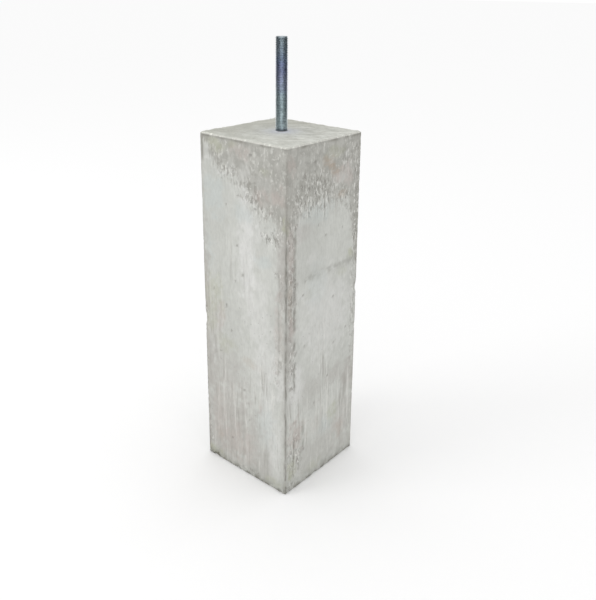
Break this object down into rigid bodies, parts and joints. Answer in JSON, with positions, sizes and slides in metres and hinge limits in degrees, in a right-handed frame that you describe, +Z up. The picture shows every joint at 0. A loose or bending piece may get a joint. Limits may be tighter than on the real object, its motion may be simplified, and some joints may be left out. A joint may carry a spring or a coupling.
{
  "type": "column base block",
  "caption": "Square, slightly tapered cast concrete pier with a threaded steel rod standing out of its top, to carry and hold down a timber column.",
  "frame": {"origin": "centre of the underside, on the ground", "axes": "+Z up along the rod; the four sides face along X and Y, and the arris nearest the camera in the picture is the one at +X, -Y"},
  "size_m": [0.16, 0.16, 0.615],
  "materials": {
    "cast_concrete": "matte",
    "zinc_plated_steel": "satin"
  },
  "bodies": {
    "root": {"concrete_block": "cast_concrete", "threaded_rod": "zinc_plated_steel"}
  },
  "joints": []
}
